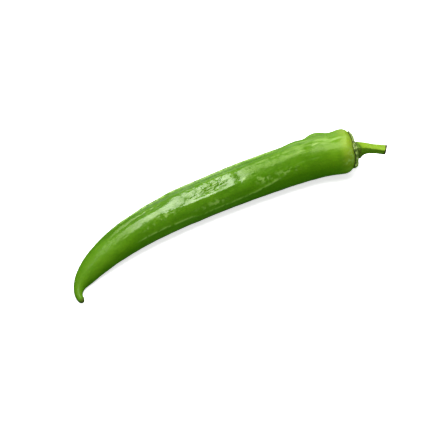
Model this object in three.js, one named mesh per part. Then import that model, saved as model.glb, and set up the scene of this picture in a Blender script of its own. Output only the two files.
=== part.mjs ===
// A long green chilli pepper, as picked, lying on its side: the pod, the calyx that caps its shoulder,
// and the stalk that it was cut by.
// Units are millimetres. +X runs from the tip to the stalk, +Z is up, and the pod's belly rests on z = 0.
// The origin is under the middle of the pepper's bounding box.
//
// Each piece is turned on a lathe about one straight axis and then bent along the pepper's spine. On that
// axis the station is 0 where the calyx meets the pod, runs up along the pod to its tip, and is negative
// along the stalk.

import * as THREE from 'three';

// Pod
const podLength = 192; // along the spine, from the calyx to the tip
const shoulderDiameter = 26.4; // at the shoulder, the widest place
const waistDiameter = 20.9; // what the middle of the pod tapers down to
const tipDiameter = 3.4; // of the blunt nub that the flower left
const shoulderFade = 3; // how quickly the shoulder's extra girth is lost: higher is sooner
const taperStart = 9; // how late the pod narrows to its tip: higher is later
const taperEase = 1.5; // how sharply it narrows there
const shoulderDepth = 7; // how far the domed end reaches along the pod
const shoulderSquareness = 2.6; // 2 is a round dome, higher is squarer
const lobeCount = 3; // the pod grew from three carpels, which leave three shallow lobes
const lobeDepth = 0.35; // how far each lobe stands out of a round section
const lobeAngle = 52; // degrees from the floor's direction to the first lobe
const lobeFadeStart = 0.6; // the share of the pod's length where the lobes start to die away
const lobeFadeEnd = 0.95; // and where they are gone

// Spine: how far it turns in degrees, and how late on its way each turn comes
const neckTurn = 40; // at the shoulder
const neckSharpness = 12;
const capTurn = 27; // back again at the domed end, which sits askew on the shoulder
const capSharpness = 30;
const bodyTurn = 42; // along the body
const bodySharpness = 3.9;
const hookTurn = 92; // at the tip
const hookSharpness = 36;
const neckRise = 1.6; // how far the calyx end is held up off the rest
const neckSpan = 30; // the length of pod that rises
const restFlat = 0.35; // how far the belly is pressed flat where it rests

// Calyx
const calyxDiameter = 19.4; // across the valleys between its teeth
const calyxRim = 1.1; // its thickness at the rim
const rimRound = 0.2; // how much the rim's two edges are rounded
const rimBand = 1; // how far in from the rim its thickness is even
const calyxCrown = 0.9; // what it gains in thickness towards the stalk
const crownShare = 0.33; // the share of that which it has gained halfway
const bossHeight = 3; // from the pod to the face where the stalk starts
const bossLean = 0.3; // how much wider the boss is where it stands on the cap
const toothCount = 6;
const toothLength = 0.8;
const veinHeight = 0.45; // how far the vein that runs to each tooth stands up

// Stalk
const stalkLength = 16;
const footDiameter = 9.8; // where it flares into the calyx
const stalkDiameter = 5.1; // at its thinnest
const cutDiameter = 5.4; // at the cut end
const footLength = 11; // the length over which the foot narrows
const footSharpness = 2.6; // how quickly it does: higher is sooner
const cutSharpness = 4; // how late the cut end flares: higher is later
const ribCount = 5;
const ribDepth = 0.22;
const stalkTurn = 28; // degrees that the stalk bends by
const stalkBendStart = 2; // how far behind the pod that bend starts
const stalkBendEnd = 10; // and ends

const clearance = 0.3; // between pieces that sit on each other

// How finely the pieces are faceted
const podRings = 58;
const podSides = 32;
const capSides = 36;
const capRings = 10;
const stalkRings = 14;
const stalkSides = 20;
const spineSteps = 480;

// What each piece looks like
const podLook = { color: 0x4f8404, roughness: 0.3 };
const calyxLook = { color: 0x6f9440, roughness: 0.6 };
const stalkLook = { color: 0x8fb82b, roughness: 0.5 };

const { clamp, degToRad, smoothstep } = THREE.MathUtils;

// Girth of the pod, before its two ends are rounded off, as a radius at a share of its length.
function girthRadius(share) {
  const body = waistDiameter + (shoulderDiameter - waistDiameter) * (1 - share) ** shoulderFade;
  const taper = (1 - share ** taperStart) ** taperEase;
  return (tipDiameter + (body - tipDiameter) * taper) / 2;
}

// Station of the pod's domed end at a radius.
function domeStation(radius) {
  const share = Math.min(radius / (shoulderDiameter / 2), 1);
  return shoulderDepth * (1 - (1 - share ** shoulderSquareness) ** (1 / shoulderSquareness));
}

// How far the domed end leans back at a radius: 0 in its middle, and a quarter turn at the shoulder.
function domeLean(radius) {
  const share = Math.min(radius / (shoulderDiameter / 2), 1);
  const rise = share ** (shoulderSquareness - 1);
  const fall = (1 - share ** shoulderSquareness) ** (1 / shoulderSquareness - 1);
  return Math.atan(rise * fall * shoulderDepth / (shoulderDiameter / 2));
}

// Radius of the domed end at a station, as a share of the girth.
function domeShare(station) {
  if (station >= shoulderDepth) return 1;
  return (1 - (1 - station / shoulderDepth) ** shoulderSquareness) ** (1 / shoulderSquareness);
}

// The nub's half-round end, as a share of the girth.
function nubShare(station) {
  const left = podLength - station;
  const nubRadius = tipDiameter / 2;
  if (left >= nubRadius) return 1;
  return Math.sqrt(1 - (1 - left / nubRadius) ** 2);
}

// How far the lobes stand out at a station and an angle: nothing at either end, so that the calyx fits.
function lobe(station, angle) {
  const growing = smoothstep(station, shoulderDepth / 2, 2 * shoulderDepth);
  const dying = smoothstep(station / podLength, lobeFadeStart, lobeFadeEnd);
  return lobeDepth * growing * (1 - dying) * Math.cos(lobeCount * (angle - degToRad(lobeAngle)));
}

// Heading of the spine seen from above, in radians, from the calyx towards the tip.
function heading(station) {
  const share = clamp(station / podLength, 0, 1);
  const degrees = -neckTurn * (1 - share) ** neckSharpness
    + capTurn * (1 - share) ** capSharpness
    + bodyTurn * share ** bodySharpness
    + hookTurn * share ** hookSharpness
    - stalkTurn * smoothstep(-station, stalkBendStart, stalkBendEnd);
  return Math.PI + degToRad(degrees);
}

// Height of the spine: the belly's own depth, less what is pressed flat, and the rise of the neck, which the
// stalk goes on with in a straight line.
function spineHeight(station) {
  const share = clamp(station / podLength, 0, 1);
  const rising = Math.max(1 - Math.max(station, 0) / neckSpan, 0);
  const onward = 2 * neckRise * Math.max(-station, 0) / neckSpan;
  return girthRadius(share) + lobe(station, 0) - restFlat + neckRise * rising ** 2 + onward;
}

// The spine as points seen from above, a step apart, from the stalk's cut end to the tip.
const spineStart = -(bossHeight + clearance + stalkLength);
const spineStep = (podLength - spineStart) / spineSteps;
const spinePlan = [new THREE.Vector2(0, 0)];
for (let i = 0; i < spineSteps; i += 1) {
  const station = spineStart + i * spineStep;
  const turn = (heading(station) + heading(station + spineStep)) / 2;
  const last = spinePlan[i];
  spinePlan.push(new THREE.Vector2(
    last.x + spineStep * Math.cos(turn),
    last.y + spineStep * Math.sin(turn),
  ));
}

// The point of the spine at a station.
function spinePoint(station) {
  const place = clamp((station - spineStart) / spineStep, 0, spineSteps);
  const index = Math.min(Math.floor(place), spineSteps - 1);
  const plan = spinePlan[index].clone().lerp(spinePlan[index + 1], place - index);
  return new THREE.Vector3(plan.x, plan.y, spineHeight(station));
}

// Bends a lathed geometry along the spine. The lathe's axis, y, holds the station. place turns a lathed
// point's radius, angle and station into the bent piece's, where the angle is 0 straight down.
function bend(geometry, place) {
  const position = geometry.getAttribute('position');
  const up = new THREE.Vector3(0, 0, 1);
  for (let i = 0; i < position.count; i += 1) {
    const lathed = new THREE.Vector3().fromBufferAttribute(position, i);
    const angle = Math.atan2(lathed.x, -lathed.z);
    const [radius, station] = place(Math.hypot(lathed.x, lathed.z), angle, lathed.y);
    const turn = heading(station);
    const along = new THREE.Vector3(Math.cos(turn), Math.sin(turn), 0);
    const side = new THREE.Vector3().crossVectors(along, up);
    const point = spinePoint(station)
      .addScaledVector(side, radius * Math.sin(angle))
      .addScaledVector(up, -radius * Math.cos(angle));
    position.setXYZ(i, point.x, point.y, Math.max(point.z, 0));
  }
  geometry.computeVertexNormals();
  return geometry;
}

// Pod: rings close together over the dome and at the tip, and further apart between them.
function makePod() {
  const profile = [];
  for (let i = 0; i <= podRings; i += 1) {
    const share = i / podRings;
    const station = podLength * (1 - Math.cos(Math.PI * share)) / 2;
    const radius = girthRadius(station / podLength) * domeShare(station) * nubShare(station);
    profile.push(new THREE.Vector2(radius, station));
  }
  profile[0].x = 0;
  profile[podRings].x = 0;
  return bend(
    new THREE.LatheGeometry(profile, podSides),
    (radius, angle, station) => [radius && radius + lobe(station, angle), station],
  );
}

// Calyx: a thin toothed cap on the dome, with a boss in its middle. Its lathe profile is drawn on a flat
// pod, as radius and height off the pod, from the boss's face round the rim to the underside. Then it is
// laid on the dome, where the cap's height leans with the dome and the boss's stays along the stalk.
function makeCalyx() {
  const rim = calyxDiameter / 2;
  const foot = footDiameter / 2;
  const middle = (rim + foot) / 2;
  const rimTop = clearance + calyxRim;
  const rimMiddle = clearance + calyxRim / 2;
  const outline = [
    [0, bossHeight],
    [foot, bossHeight],
    [foot + bossLean, rimTop + calyxCrown],
    [middle, rimTop + calyxCrown * crownShare],
    [rim - rimBand, rimTop],
    [rim - rimRound, rimTop - rimRound],
    [rim, rimMiddle],
  ];
  for (let i = capRings; i >= 0; i -= 1) outline.push([(rim - rimRound) * i / capRings, clearance]);
  const profile = outline.map(([radius, height]) => new THREE.Vector2(radius, -height));
  return bend(new THREE.LatheGeometry(profile, capSides), (radius, angle, station) => {
    const outward = Math.max(radius - foot, 0) / (rim - foot);
    const onTooth = (1 + Math.cos(toothCount * angle)) / 2;
    const toothed = radius + toothLength * outward ** 2 * onTooth;
    const onTop = station < -rimMiddle;
    const vein = onTop ? veinHeight * onTooth * 4 * outward * (1 - outward) : 0;
    const height = vein - station;
    const lean = domeLean(toothed) * Math.min(2 * outward, 1);
    return [toothed + height * Math.sin(lean), domeStation(toothed) - height * Math.cos(lean)];
  });
}

// Stalk: ribbed, flared where it meets the calyx and a little at its cut end.
function makeStalk() {
  const top = -(bossHeight + clearance);
  const profile = [new THREE.Vector2(0, top - stalkLength)];
  for (let i = 0; i <= stalkRings; i += 1) {
    const share = (1 - i / stalkRings) ** 2;
    const down = Math.max(1 - share * stalkLength / footLength, 0);
    const diameter = stalkDiameter
      + (footDiameter - stalkDiameter) * down ** footSharpness
      + (cutDiameter - stalkDiameter) * share ** cutSharpness;
    profile.push(new THREE.Vector2(diameter / 2, top - share * stalkLength));
  }
  profile.push(new THREE.Vector2(0, top));
  return bend(new THREE.LatheGeometry(profile, stalkSides), (radius, angle, station) => {
    const rib = ribDepth * Math.cos(ribCount * angle) * smoothstep(top - station, 0, footLength);
    return [radius && radius + rib, station];
  });
}

function makeMesh(name, geometry, look) {
  const mesh = new THREE.Mesh(geometry, new THREE.MeshStandardMaterial(look));
  mesh.name = name;
  return mesh;
}

const pepper = new THREE.Group();
pepper.add(
  makeMesh('pod', makePod(), podLook),
  makeMesh('calyx', makeCalyx(), calyxLook),
  makeMesh('stalk', makeStalk(), stalkLook),
);

// Turn the pepper so that the line from its tip to its cut end runs along +X, and centre it on the origin.
const chord = spinePlan[0].clone().sub(spinePlan[spineSteps]);
pepper.rotation.z = -chord.angle();
const middle = new THREE.Box3().setFromObject(pepper, true).getCenter(new THREE.Vector3());
pepper.position.set(-middle.x, -middle.y, 0);

export default pepper;
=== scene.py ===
"""The looks of a long green chilli pepper that lies on its side.

Each piece is made of rings round a straight axis, and is then laid along the pepper's spine. On that axis the
station is 0 where the calyx meets the pod, runs up along the pod to its tip, and is negative along the stalk.
Angles round the axis are 0 straight down and a quarter turn towards +Y.
Settings are in metres and radians. Inside the functions, lengths are in millimetres.
"""

import math

import bpy
import numpy as np
from bpy.props import FloatProperty, FloatVectorProperty, IntProperty, PointerProperty
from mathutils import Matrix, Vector, noise


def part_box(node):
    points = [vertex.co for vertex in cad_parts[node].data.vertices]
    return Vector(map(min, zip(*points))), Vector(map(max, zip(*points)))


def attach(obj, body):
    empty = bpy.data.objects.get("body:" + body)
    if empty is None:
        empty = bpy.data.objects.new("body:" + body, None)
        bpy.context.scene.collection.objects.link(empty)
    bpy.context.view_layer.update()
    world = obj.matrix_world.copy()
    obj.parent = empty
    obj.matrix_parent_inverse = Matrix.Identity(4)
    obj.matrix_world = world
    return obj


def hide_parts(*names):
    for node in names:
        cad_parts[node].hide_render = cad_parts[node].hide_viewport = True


bl_info = {
    "name": "Chilli Pepper",
    "version": (1, 0, 0),
    "blender": (4, 5, 0),
    "location": "3D View > Sidebar > Chilli",
    "description": "Builds a long green chilli pepper with its calyx and stalk",
    "category": "Add Mesh",
}

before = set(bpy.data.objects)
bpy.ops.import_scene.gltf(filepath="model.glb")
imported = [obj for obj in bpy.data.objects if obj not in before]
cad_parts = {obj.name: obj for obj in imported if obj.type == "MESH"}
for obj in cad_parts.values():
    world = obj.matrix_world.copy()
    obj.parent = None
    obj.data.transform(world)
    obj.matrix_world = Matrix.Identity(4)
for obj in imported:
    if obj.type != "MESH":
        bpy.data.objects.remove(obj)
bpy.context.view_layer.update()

MM = 0.001  # a millimetre in metres
BODY = "root"
GRAIN = "grain"  # vertex attribute: a place in millimetres whose X runs along the fibres
EDGE = "edge"  # vertex attribute: 1 at a piece's free edge or end, 0 well inside it
# On the pod the painted light is highlights, sheen and reflections, with a few paler blotches; on the stalk
# it is its sunny side. On the calyx the attribute runs from 0 to 1 and is low in the creases, where shade is
# painted.
PAINTED_SHADING = "painted_shading"  # vertex attribute: where light (above 0) and shade (below 0) are painted into the colour
SPINE_STEPS = 960
WHITE = (1.0, 1.0, 1.0)


# ---- Settings ----


def in_metres(name, description, default, low=0.0):
    return FloatProperty(name=name, description=description, default=default, min=low, unit="LENGTH")


def in_degrees(name, description, degrees):
    turn = math.radians(degrees)
    return FloatProperty(name=name, description=description, default=turn, subtype="ANGLE")


def in_watts(name, description, default):
    return FloatProperty(name=name, description=description, default=default, unit="POWER")


def as_number(name, description, default):
    return FloatProperty(name=name, description=description, default=default)


def as_count(name, description, default):
    return IntProperty(name=name, description=description, default=default, min=3)


def as_colour(name, description, default):
    return FloatVectorProperty(
        name=name, description=description, default=default, size=3, min=0.0, max=1.0, subtype="COLOR"
    )


class ChilliSpineSettings(bpy.types.PropertyGroup):
    """How the pepper bends."""

    length: in_metres("Length", "Length of the pod along its spine", 0.192)
    neck_turn: in_degrees("Neck turn", "How far the spine turns at the shoulder", 40)
    neck_sharpness: as_number("Neck sharpness", "How soon that turn is over", 12)
    cap_turn: in_degrees("Cap turn", "How far it turns back at the domed end", 27)
    cap_sharpness: as_number("Cap sharpness", "How soon that turn is over", 30)
    body_turn: in_degrees("Body turn", "How far the spine turns along the body", 42)
    body_sharpness: as_number("Body sharpness", "How late that turn comes", 3.9)
    hook_turn: in_degrees("Hook turn", "How far the spine turns at the tip", 92)
    hook_sharpness: as_number("Hook sharpness", "How late that turn comes", 36)
    stalk_turn: in_degrees("Stalk turn", "How far the stalk bends", 28)
    stalk_bend_start: in_metres("Stalk bend start", "How far behind the pod that bend starts", 0.002)
    stalk_bend_end: in_metres("Stalk bend end", "How far behind the pod it ends", 0.010)
    neck_rise: in_metres("Neck rise", "How far the calyx end is held up", 0.0016)
    neck_span: in_metres("Neck span", "Length of pod that rises", 0.030)
    rest_flat: in_metres("Rest flat", "How far the belly is pressed flat", 0.00035)


class ChilliPodSettings(bpy.types.PropertyGroup):
    """Sizes and colours of the pod."""

    shoulder_diameter: in_metres("Shoulder diameter", "Across the widest place", 0.0264)
    waist_diameter: in_metres("Waist diameter", "Across the middle", 0.0209)
    tip_diameter: in_metres("Tip diameter", "Across the blunt nub", 0.0034)
    shoulder_depth: in_metres("Shoulder depth", "How far the domed end reaches", 0.007)
    relief: as_number("Relief", "Strength of the lobes, dents and ripples", 1.0)
    skin: as_colour("Skin", "Green of the body", (0.053, 0.160, 0.0018))
    skin_light: as_colour("Light skin", "Fresher green of shoulder and tip", (0.104, 0.235, 0.004))
    # Also the colour of the shade painted in the furrows and between the highlight's rows.
    skin_dark: as_colour("Dark skin", "Deep green of the mottles", (0.030, 0.105, 0.001))
    blush: as_colour("Blush", "Yellow-green round the calyx", (0.215, 0.300, 0.020))
    # The colour of the painted highlights, sheen and reflections, and of a few paler blotches.
    painted_highlight: as_colour("Bloom", "Pale green of the blotches", (0.230, 0.380, 0.080))
    sheen: as_colour("Sheen", "Tint of the skin's soft shine", (0.80, 1.0, 0.30))
    nub: as_colour("Nub", "Dried end of the tip", (0.060, 0.055, 0.012))


class ChilliCalyxSettings(bpy.types.PropertyGroup):
    """Sizes and colours of the calyx."""

    diameter: in_metres("Diameter", "Across the valleys between its teeth", 0.0212)
    rim: in_metres("Rim", "Thickness at the rim", 0.0009)
    crown: in_metres("Crown", "What it gains in thickness towards the stalk", 0.0008)
    boss_height: in_metres("Boss height", "From the pod to where the stalk starts", 0.003)
    tooth_length: in_metres("Tooth length", "How far its teeth reach", 0.0009)
    tooth_count: as_count("Teeth", "Number of teeth and of veins", 6)
    leaf: as_colour("Leaf", "Green of the leaf", (0.200, 0.300, 0.058))
    vein: as_colour("Vein", "Paler green of the veins", (0.330, 0.440, 0.140))
    # The colour of the shade painted into the creases.
    crease_shade: as_colour("Crease", "Dark green of the creases", (0.050, 0.080, 0.012))
    dried: as_colour("Dried rim", "Brown of the dried rim", (0.110, 0.085, 0.030))


class ChilliStalkSettings(bpy.types.PropertyGroup):
    """Sizes and colours of the stalk."""

    length: in_metres("Length", "From the calyx to the cut end", 0.016)
    foot_diameter: in_metres("Foot diameter", "Where it flares into the calyx", 0.0098)
    diameter: in_metres("Diameter", "At its thinnest", 0.0051)
    cut_diameter: in_metres("Cut diameter", "At the cut end", 0.0054)
    foot_length: in_metres("Foot length", "Over which the foot narrows", 0.011)
    rib_count: as_count("Ribs", "Number of ribs", 5)
    rib_angle: in_degrees("Rib angle", "Angle of the first rib", -140)
    # The stalk's light and shade are painted: this green is its shaded side and the next its sunny side, and
    # the shade colour is painted round its foot.
    green: as_colour("Green", "Green of its shaded side", (0.080, 0.190, 0.006))
    painted_shading: as_colour("Pale", "Paler green of its sunny side", (0.185, 0.325, 0.010))
    foot_shade: as_colour("Stain", "Dark green round its foot", (0.035, 0.050, 0.008))
    cut: as_colour("Cut end", "Brown of the dried cut", (0.045, 0.026, 0.012))
    sheen: as_colour("Sheen", "Tint of its soft shine", (0.80, 1.0, 0.40))


class ChilliStageSettings(bpy.types.PropertyGroup):
    """The floor, the lights and the camera."""

    azimuth: in_degrees("Azimuth", "Turn of the camera round the pepper", -29.821)
    elevation: in_degrees("Elevation", "Height of the camera over the floor", 50)
    distance: in_metres("Distance", "From the camera to what it looks at", 0.69667)
    target_x: in_metres("Target X", "What the camera looks at", -0.004705, low=-1.0)
    target_y: in_metres("Target Y", "What the camera looks at", -0.002426, low=-1.0)
    lens: as_number("Lens", "Focal length in millimetres", 100.0)
    sensor: as_number("Sensor", "Sensor width in millimetres", 36.0)
    floor: as_colour("Floor", "Colour of the floor", (0.82, 0.82, 0.82))
    floor_bounce: as_colour("Floor bounce", "Light that it throws back up", (0.10, 0.26, 0.02))
    floor_glow: as_number("Floor glow", "How far the floor is lifted to white", 0.66)
    sky: as_number("Sky", "Strength of the light from all round", 0.36)
    softbox_power: in_watts("Softbox", "Power of the softbox overhead", 10.7)
    softbox_width: in_metres("Softbox width", "Width of the softbox", 0.60)
    softbox_height: in_metres("Softbox height", "Its height over the floor", 0.75)
    back_power: in_watts("Back light", "Power of the light behind", 3.0)


def settings(name):
    return getattr(bpy.context.scene, "chilli_" + name)


def mm(metres):
    return metres / MM


# ---- Shapes ----

SHOULDER_FADE = 3.0  # how quickly the shoulder's extra girth is lost: higher is sooner
TAPER_START = 9.0  # how late the pod narrows to its tip: higher is later
TAPER_EASE = 1.5  # how sharply it narrows there
SHOULDER_SQUARENESS = 2.6  # 2 is a round dome, higher is squarer

CLEARANCE = 0.3  # gap between the calyx's boss and the stalk's foot
BELLY_DROP = 0.3  # the belly lies in a valley between two lobes, which is this much shallower
SKEW, SKEW_ANGLE = 1.5, math.radians(130)  # how far the domed end leans, and towards which side
SKEW_START, SKEW_END = (-14.0, -3.0), (-5.0, 8.0)  # stations over which the lean comes and goes
SKEW_SHIFT = 0.35  # the share of the lean that moves the whole end along
SKEW_RADIUS = 9.0  # radius from which the rest of the lean is full
TIP_SWAY = 0.85  # how far the tip lies to the side of the smooth bend
SWAY_START, SWAY_END = 34.0, 12.0  # distances from the tip between which that comes
SEAT_STATIONS, SEAT_ANGLES = 400, 96  # how many of each the plain pod is measured at


def smoothstep(value, low, high):
    share = np.clip((np.asarray(value, float) - low) / (high - low), 0.0, 1.0)
    return share * share * (3.0 - 2.0 * share)


def bell(value):
    """1 at 0, falling smoothly to nothing by about 3 either way."""
    return np.exp(-0.5 * value**2)


def turn_between(angle, centre):
    """Shortest turn in radians from centre to angle."""
    return (np.asarray(angle) - centre + math.pi) % math.tau - math.pi


def facing(angle, degrees):
    """1 where the surface faces an angle, falling to 0 a quarter turn away."""
    return np.maximum(np.cos(angle - math.radians(degrees)), 0.0)


def girth_radius(share):
    """Radius of the pod at a share of its length, before its ends are rounded off."""
    pod = settings("pod")
    shoulder, waist, tip = mm(pod.shoulder_diameter), mm(pod.waist_diameter), mm(pod.tip_diameter)
    body = waist + (shoulder - waist) * (1.0 - share) ** SHOULDER_FADE
    taper = (1.0 - share**TAPER_START) ** TAPER_EASE
    return (tip + (body - tip) * taper) / 2.0


def dome_station(radius):
    """Station of the pod's domed end at a radius."""
    pod = settings("pod")
    share = np.minimum(radius / (mm(pod.shoulder_diameter) / 2.0), 1.0)
    fall = (1.0 - share**SHOULDER_SQUARENESS) ** (1.0 / SHOULDER_SQUARENESS)
    return mm(pod.shoulder_depth) * (1.0 - fall)


def dome_lean(radius):
    """How far the domed end leans back at a radius, in radians."""
    pod = settings("pod")
    half = mm(pod.shoulder_diameter) / 2.0
    share = np.minimum(radius / half, 0.999)  # just short of the girth, where the dome stands upright
    fall = (1.0 - share**SHOULDER_SQUARENESS) ** (1.0 / SHOULDER_SQUARENESS - 1.0)
    return np.arctan(share ** (SHOULDER_SQUARENESS - 1.0) * fall * mm(pod.shoulder_depth) / half)


def dome_share(station):
    """Radius of the domed end at a station, as a share of the girth."""
    left = np.clip(1.0 - station / mm(settings("pod").shoulder_depth), 0.0, 1.0)
    return (1.0 - left**SHOULDER_SQUARENESS) ** (1.0 / SHOULDER_SQUARENESS)


class Spine:
    """The line that the pieces are laid along, in the row's frame."""

    def __init__(self):
        spine, calyx, stalk = settings("spine"), settings("calyx"), settings("stalk")
        self.set = spine
        self.length = mm(spine.length)
        self.start = -(mm(calyx.boss_height) + mm(stalk.length) + CLEARANCE)
        self.stations = np.linspace(self.start, self.length, SPINE_STEPS + 1)
        step = self.stations[1] - self.stations[0]
        ends = self.heading(self.stations)
        turn = (ends[1:] + ends[:-1]) / 2.0
        self.plan = np.zeros((SPINE_STEPS + 1, 2))
        self.plan[1:, 0] = np.cumsum(step * np.cos(turn))
        self.plan[1:, 1] = np.cumsum(step * np.sin(turn))
        chord = self.plan[0] - self.plan[-1]
        self.turned = -math.atan2(chord[1], chord[0])
        self.shift = np.zeros(2)
        self.seat_on_frame()

    def heading(self, station):
        share = np.clip(station / self.length, 0.0, 1.0)
        bent = smoothstep(-station, mm(self.set.stalk_bend_start), mm(self.set.stalk_bend_end))
        turn = -self.set.neck_turn * (1.0 - share) ** self.set.neck_sharpness
        turn = turn + self.set.cap_turn * (1.0 - share) ** self.set.cap_sharpness
        turn = turn + self.set.body_turn * share**self.set.body_sharpness
        turn = turn + self.set.hook_turn * share**self.set.hook_sharpness
        return math.pi + turn - self.set.stalk_turn * bent

    def height(self, station):
        share = np.clip(station / self.length, 0.0, 1.0)
        span, rise = mm(self.set.neck_span), mm(self.set.neck_rise)
        rising = np.maximum(1.0 - np.maximum(station, 0.0) / span, 0.0)
        onward = 2.0 * rise * np.maximum(-station, 0.0) / span
        return girth_radius(share) - BELLY_DROP - mm(self.set.rest_flat) + rise * rising**2 + onward

    def lay(self, station, angle, radius):
        """Points in millimetres for arrays of stations, angles and radii."""
        askew = SKEW * (1.0 - smoothstep(station, *SKEW_END)) * smoothstep(station, *SKEW_START)
        leaning = np.cos(angle - SKEW_ANGLE) * np.minimum(radius / SKEW_RADIUS, 1.0)
        station = station + askew * (SKEW_SHIFT + (1.0 - SKEW_SHIFT) * leaning)
        plan_x = np.interp(station, self.stations, self.plan[:, 0])
        plan_y = np.interp(station, self.stations, self.plan[:, 1])
        heading = self.heading(station)
        sway = TIP_SWAY * smoothstep(station, self.length - SWAY_START, self.length - SWAY_END)
        side = radius * np.sin(angle) + sway
        x = plan_x + side * np.sin(heading)
        y = plan_y - side * np.cos(heading)
        z = self.height(station) - radius * np.cos(angle)
        cos, sin = math.cos(self.turned), math.sin(self.turned)
        return np.stack([x * cos - y * sin + self.shift[0], x * sin + y * cos + self.shift[1], z], -1)

    def seat_on_frame(self):
        """Shifts the spine so that the plain pod has the same middle as the CAD pod."""
        stations = np.linspace(0.0, self.length, SEAT_STATIONS)
        station, angle = np.meshgrid(stations, np.linspace(0.0, math.tau, SEAT_ANGLES), indexing="ij")
        radius = girth_radius(station / self.length) * dome_share(station)
        plain = self.lay(station, angle, radius).reshape(-1, 3)
        low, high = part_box("pod")
        middle = (np.array(low) + np.array(high)) / 2.0 / MM
        self.shift = (middle - (plain.min(0) + plain.max(0)) / 2.0)[:2]


def with_poles(values):
    """Values of [ring, side] in one list, which ends with the means of the first ring and of the last."""
    return np.concatenate([values.reshape(-1, *values.shape[2:]), values[[0, -1]].mean(1)])


def ring_mesh(name, points, grain, edge, painted_shading):
    """A closed tube from points[ring, side] in millimetres. A pole in the middle closes each of its ends."""
    rings, sides = points.shape[:2]
    faces, maps = [], []
    for i in range(rings - 1):
        for j in range(sides):
            k = (j + 1) % sides
            faces.append((i * sides + j, i * sides + k, (i + 1) * sides + k, (i + 1) * sides + j))
            low, high, near, far = i / rings, (i + 1) / rings, j / sides, (j + 1) / sides
            maps.extend([(low, near), (low, far), (high, far), (high, near)])
    for ring, pole in ((0, rings * sides), (rings - 1, rings * sides + 1)):
        for j in range(sides):
            a, b = ring * sides + j, ring * sides + (j + 1) % sides
            faces.append((pole, b, a) if ring == 0 else (pole, a, b))
            at = ring / rings
            maps.extend([(at, (j + 0.5) / sides), (at, j / sides), (at, (j + 1) / sides)])
    mesh = bpy.data.meshes.new(name)
    mesh.from_pydata([tuple(v) for v in with_poles(points) * MM], [], faces)
    for key, kind, values in ((GRAIN, "FLOAT_VECTOR", grain), (EDGE, "FLOAT", edge), (PAINTED_SHADING, "FLOAT", painted_shading)):
        held = mesh.attributes.new(key, kind, "POINT").data
        flat = with_poles(values).astype(np.float32).ravel()
        held.foreach_set("vector" if kind == "FLOAT_VECTOR" else "value", flat)
    mesh.uv_layers.new(name="OFBake").uv.foreach_set("vector", np.array(maps, np.float32).ravel())
    mesh.polygons.foreach_set("use_smooth", np.ones(len(mesh.polygons), bool))
    mesh.validate()
    mesh.update()
    piece = bpy.data.objects.new(name, mesh)
    bpy.context.scene.collection.objects.link(piece)
    return piece


def fractal(points, octaves=2):
    """Smooth noise from about -1 to 1 at points, where the noise is about 1 unit wide."""
    flat = points.reshape(-1, 3)
    values = [noise.fractal(Vector(p), 1.0, 2.0, octaves) for p in flat]
    return np.array(values).reshape(points.shape[:-1])


def skin_place(station, angle, radius):
    """Where a point lies on the straightened pepper, in millimetres."""
    return np.stack([station, radius * np.cos(angle), radius * np.sin(angle)], -1)


def ripples(place, long, wide, offset=0.0, octaves=2):
    """Noise whose waves are about long along the pepper and wide across it, in millimetres."""
    return fractal(place * np.array([1 / long, 1 / wide, 1 / wide]) + offset, octaves)


def round_angles(sides):
    return np.linspace(0.0, math.tau, sides, endpoint=False)


# ---- Pod ----

POD_RINGS, POD_SIDES = 600, 150

# The narrow ridge low on the near side, as stations in millimetres and angles in degrees. Along its crest a
# paler line is painted, partly a paler vein and partly a painted highlight.
RIDGE_LINE = (
    *((42, 233), (58, 250), (68, 258), (90, 262), (102, 262)),
    *((107, 256), (118, 255), (126, 251), (148, 249)),
)

# Lobes, ridges and furrows along the pod: width in degrees, height in millimetres, and the line that each
# one follows, given in the same way.
POD_FOLDS = (
    # The broad lobes and the flats between them.
    (24, 0.90, ((16, 162), (45, 160), (74, 157), (122, 157))),
    (20, 0.70, ((64, 238), (90, 236), (114, 234))),
    (16, -0.40, ((76, 196), (108, 198))),
    (18, -0.70, ((2, 180), (20, 178), (36, 176))),
    (9, 0.30, ((12, 206), (28, 196), (40, 193), (68, 193))),
    (14, -0.40, ((126, 136), (162, 134))),
    (16, 0.30, ((6, 62), (150, 60))),
    (14, -0.40, ((10, 20), (168, 15))),
    (18, -0.35, ((12, 95), (90, 92), (170, 100))),
    (11, -0.30, ((8, 348), (160, 348))),
    # The ridge along the back and the furrow beside it.
    (5, 0.38, ((40, 143), (70, 141), (110, 142), (150, 144), (160, 142))),
    (5, -0.42, ((38, 157), (60, 157), (75, 155), (100, 156), (130, 155), (162, 152))),
    # Narrow ridges and furrows on the near side.
    (5, -0.34, ((72, 201), (90, 202), (110, 204))),
    (5, 0.34, ((70, 213), (80, 214), (112, 217))),
    (3.5, -0.14, ((74, 190), (104, 190))),
    (3.0, -0.10, ((76, 196), (104, 197))),
    (3.0, -0.08, ((74, 183), (100, 183))),
    (5, 0.24, ((14, 171), (34, 170), (60, 170), (76, 178))),
    (6, 0.36, ((114, 156), (135, 157), (158, 162))),
    (5, -0.30, ((112, 174), (135, 176), (162, 179))),
    (3.5, 0.24, RIDGE_LINE),
)

# Swellings and dents: station, angle in degrees, half length and half width in millimetres, and height.
POD_SWELLINGS = (
    (6.5, 134, 4.0, 7, 0.70), (13.0, 132, 2.4, 5, -0.55), (20.5, 119, 4.6, 7, 2.30),
    (27.0, 126, 1.9, 8, -0.60), (33, 126, 4.2, 8, 0.70), (51, 130, 9.0, 8, -0.45),
    (176, -50, 9, 6, 0.75), (22, 147, 9, 3, -0.75), (12, 196, 6, 7, 0.30), (9, -110, 7, 8, 0.35),
    (26, -100, 9, 7, -0.30), (42, -130, 10, 7, 0.20), (73.0, 190, 2.2, 5, -0.60),
    (106.0, 192, 3.0, 5, -0.40), (12, 20, 8, 9, 0.40), (16, -45, 8, 8, -0.45), (22, 75, 9, 8, -0.35),
    (60, 60, 12, 8, 0.25), (95, 100, 10, 7, -0.20),
)

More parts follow.
